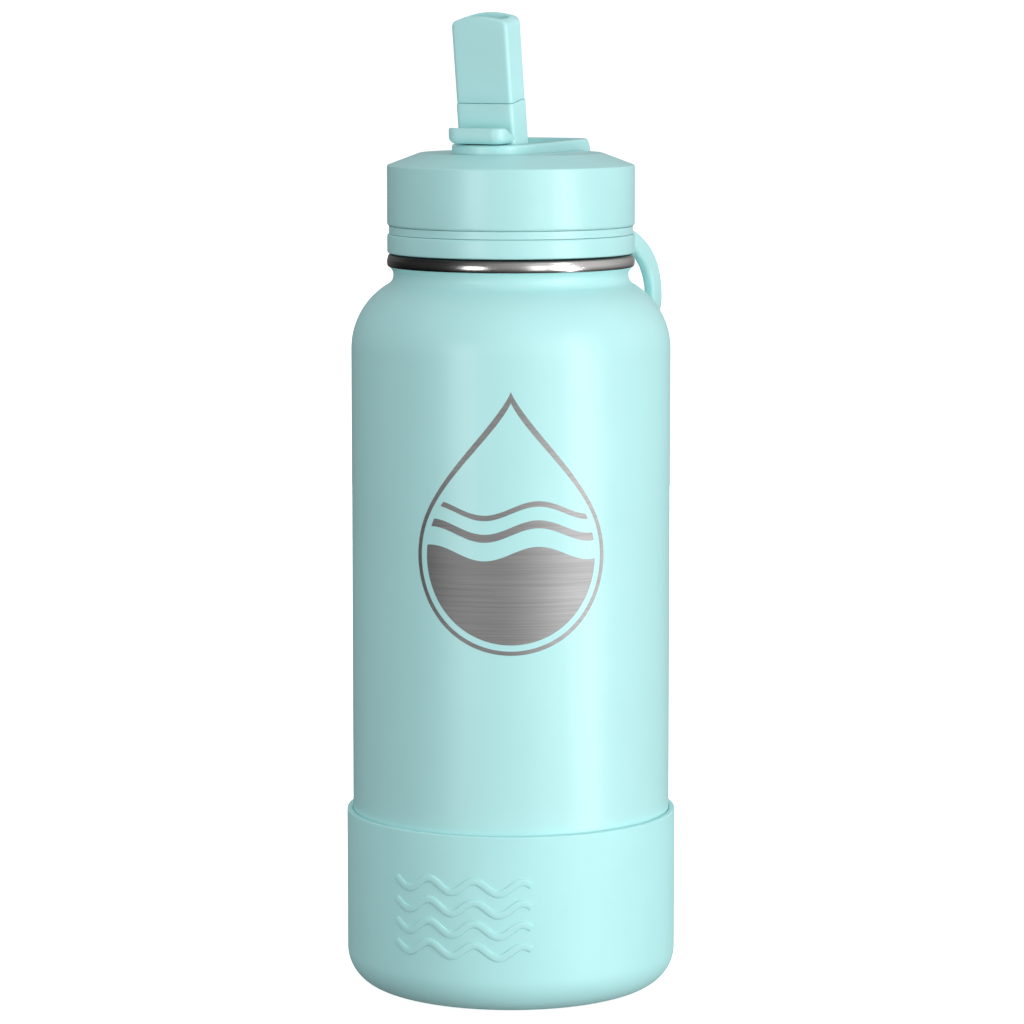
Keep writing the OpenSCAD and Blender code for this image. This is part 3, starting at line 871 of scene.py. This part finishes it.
def make_stage():
    """Pale floor on a white background, a grey room to reflect, and softboxes."""
    scene = bpy.context.scene
    scene.view_settings.view_transform = "Standard"
    world = bpy.data.worlds.new("studio")
    scene.world = world
    world.use_nodes = True
    tree = world.node_tree
    soft_room = tree.nodes["Background"]
    soft_room.inputs["Color"].default_value = (0.97, 0.99, 1, 1)
    white = tree.nodes.new("ShaderNodeBackground")
    white.inputs["Color"].default_value = (1, 1, 1, 1)
    white.inputs["Strength"].default_value = 1.1
    split = tree.nodes.new("ShaderNodeSeparateXYZ")
    tree.links.new(tree.nodes.new("ShaderNodeTexCoord").outputs["Generated"], split.inputs[0])

    def ramp(axis, start, end, low, high):
        made = tree.nodes.new("ShaderNodeMapRange")
        tree.links.new(split.outputs[axis], made.inputs["Value"])
        ends = {"From Min": start, "From Max": end, "To Min": low, "To Max": high}
        for socket, value in ends.items():
            made.inputs[socket].default_value = value
        return made.outputs["Result"]

    def combine(a, b, how="MULTIPLY"):
        made = tree.nodes.new("ShaderNodeMath")
        made.operation = how
        tree.links.new(a, made.inputs[0])
        tree.links.new(b, made.inputs[1])
        return made.outputs[0]

    tree.links.new(ramp("Z", -0.3, 0.3, 0.16, 0.66), soft_room.inputs["Strength"])
    # what glossy surfaces reflect: a room that is light on its right and dark on its left and
    # below, with a glow behind the bottle that only its sloping tops catch
    glossy_room = tree.nodes.new("ShaderNodeBackground")
    room = combine(ramp("X", -0.8, 1, 0.02, 0.95), ramp("Y", 0.1, 0.9, 1, 0.55))
    room = combine(room, ramp("Z", -0.3, 0.1, 0.4, 1))
    glow = combine(ramp("Z", 0.1, 0.25, 0, 0.1), ramp("Z", 0.5, 0.75, 1, 0.3))
    glow = combine(glow, ramp("Y", 0.4, 0.8, 0, 1))
    tree.links.new(combine(room, glow, "ADD"), glossy_room.inputs["Strength"])
    glossy_room.inputs["Color"].default_value = (1, 0.99, 0.98, 1)
    path = tree.nodes.new("ShaderNodeLightPath")
    glossy = tree.nodes.new("ShaderNodeMixShader")
    seen = tree.nodes.new("ShaderNodeMixShader")
    tree.links.new(path.outputs["Is Glossy Ray"], glossy.inputs["Fac"])
    tree.links.new(soft_room.outputs[0], glossy.inputs[1])
    tree.links.new(glossy_room.outputs[0], glossy.inputs[2])
    tree.links.new(path.outputs["Is Camera Ray"], seen.inputs["Fac"])
    tree.links.new(glossy.outputs[0], seen.inputs[1])
    tree.links.new(white.outputs[0], seen.inputs[2])
    tree.links.new(seen.outputs[0], tree.nodes["World Output"].inputs["Surface"])

    reach, thick = 4000, 20
    floor = lathe("floor", [(0, 0), (reach, 0), (reach, -thick), (0, -thick)], steps=64,
                  place=Matrix.Translation((0, 0, -0.05)))
    m = Shader("floor_white")
    patches = m.noise(3, 2)
    m.colour(m.blend(m.spread(patches, 0, 1), (0.80, 0.80, 0.80, 1), (0.82, 0.82, 0.82, 1)))
    m.roughness(0.8)
    m.shader.inputs["Emission Color"].default_value = (1, 1, 1, 1)
    m.shader.inputs["Emission Strength"].default_value = 0.8
    dress(floor, m.material)
    floor.visible_diffuse = False
    floor.visible_glossy = False
    floor.visible_shadow = False

    tall, away = (0.3, 1.0), 1.2
    area_light("key", 49, 0.25, away, tall, 6.4)
    area_light("front", 25, 0.25, away, tall, 1.95)
    area_light("left_strip", -34, 0.2, away, (0.34, 0.6), 3.0)
    area_light("body_strip", 61, -0.25, away, (0.07, 0.75), 3.2, aim=0)
    area_light("back", 180, 0.3, away, (0.8, 0.6), 4.0, mirrored=False)


# ---- assembly ----

def assemble():
    """Makes every visible piece, puts it on its body and dresses the CAD nodes that stay in view."""
    coat, plastic = powder_coat(), lid_plastic()
    boot_rubber = silicone("boot_silicone", BOOT_MINT, 0.5)
    soft_rubber = silicone("mouth_silicone", MOUTH_MINT, 0.34)
    steel, lip = polished_steel(), lip_steel()
    etched = brushed_steel("etched_steel", (0.36, 0.36, 0.36, 1), 0.52, 0.64)
    plain_steel = brushed_steel("brushed_steel", (0.6, 0.59, 0.58, 1), 0.34, 0.5)
    clear, core = clear_plastic(), foam()

    made = [
        (make_shell, coat, "bottle", "outer_shell", "coated_steel"),
        (make_mouth_bead, lip, "bottle", "mouth_ring", "bare_steel"),
        (make_emblem, etched, "bottle", None, "bare_steel"),
        (make_boot, boot_rubber, "boot", "boot", "silicone"),
        (make_boot_mark, boot_rubber, "boot", None, "silicone"),
        (make_cap, plastic, "lid", "lid_cap", "lid_plastic"),
        (make_ring, plastic, "lid", "carry_ring", "lid_plastic"),
        (make_cradle, plastic, "lid", "spout_cradle", "lid_plastic"),
        (make_loop, plastic, "loop", "carry_loop", "lid_plastic"),
        (make_spout_base, plastic, "spout", "spout_base", "lid_plastic"),
        (make_mouthpiece, soft_rubber, "spout", "mouthpiece", "mouth_silicone"),
    ]
    for build, material, body, node, slot in made:
        piece = dress(build(), material)
        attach(piece, body)
        if node:
            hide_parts(node)

    finishes = {
        "shell_base": plain_steel, "inner_vessel": plain_steel, "getter": plain_steel,
        "vacuum_plug": plain_steel, "loop_pins": steel, "hinge_pins": steel,
        "lid_plug": plastic, "lid_foam": core, "lid_gasket": soft_rubber, "spout_seal": soft_rubber,
        "vent_valve": soft_rubber, "straw_stem": clear, "straw": clear,
    }
    for node, material in finishes.items():
        dress(frame["nodes"][node], material)


make_camera()
make_stage()
assemble()
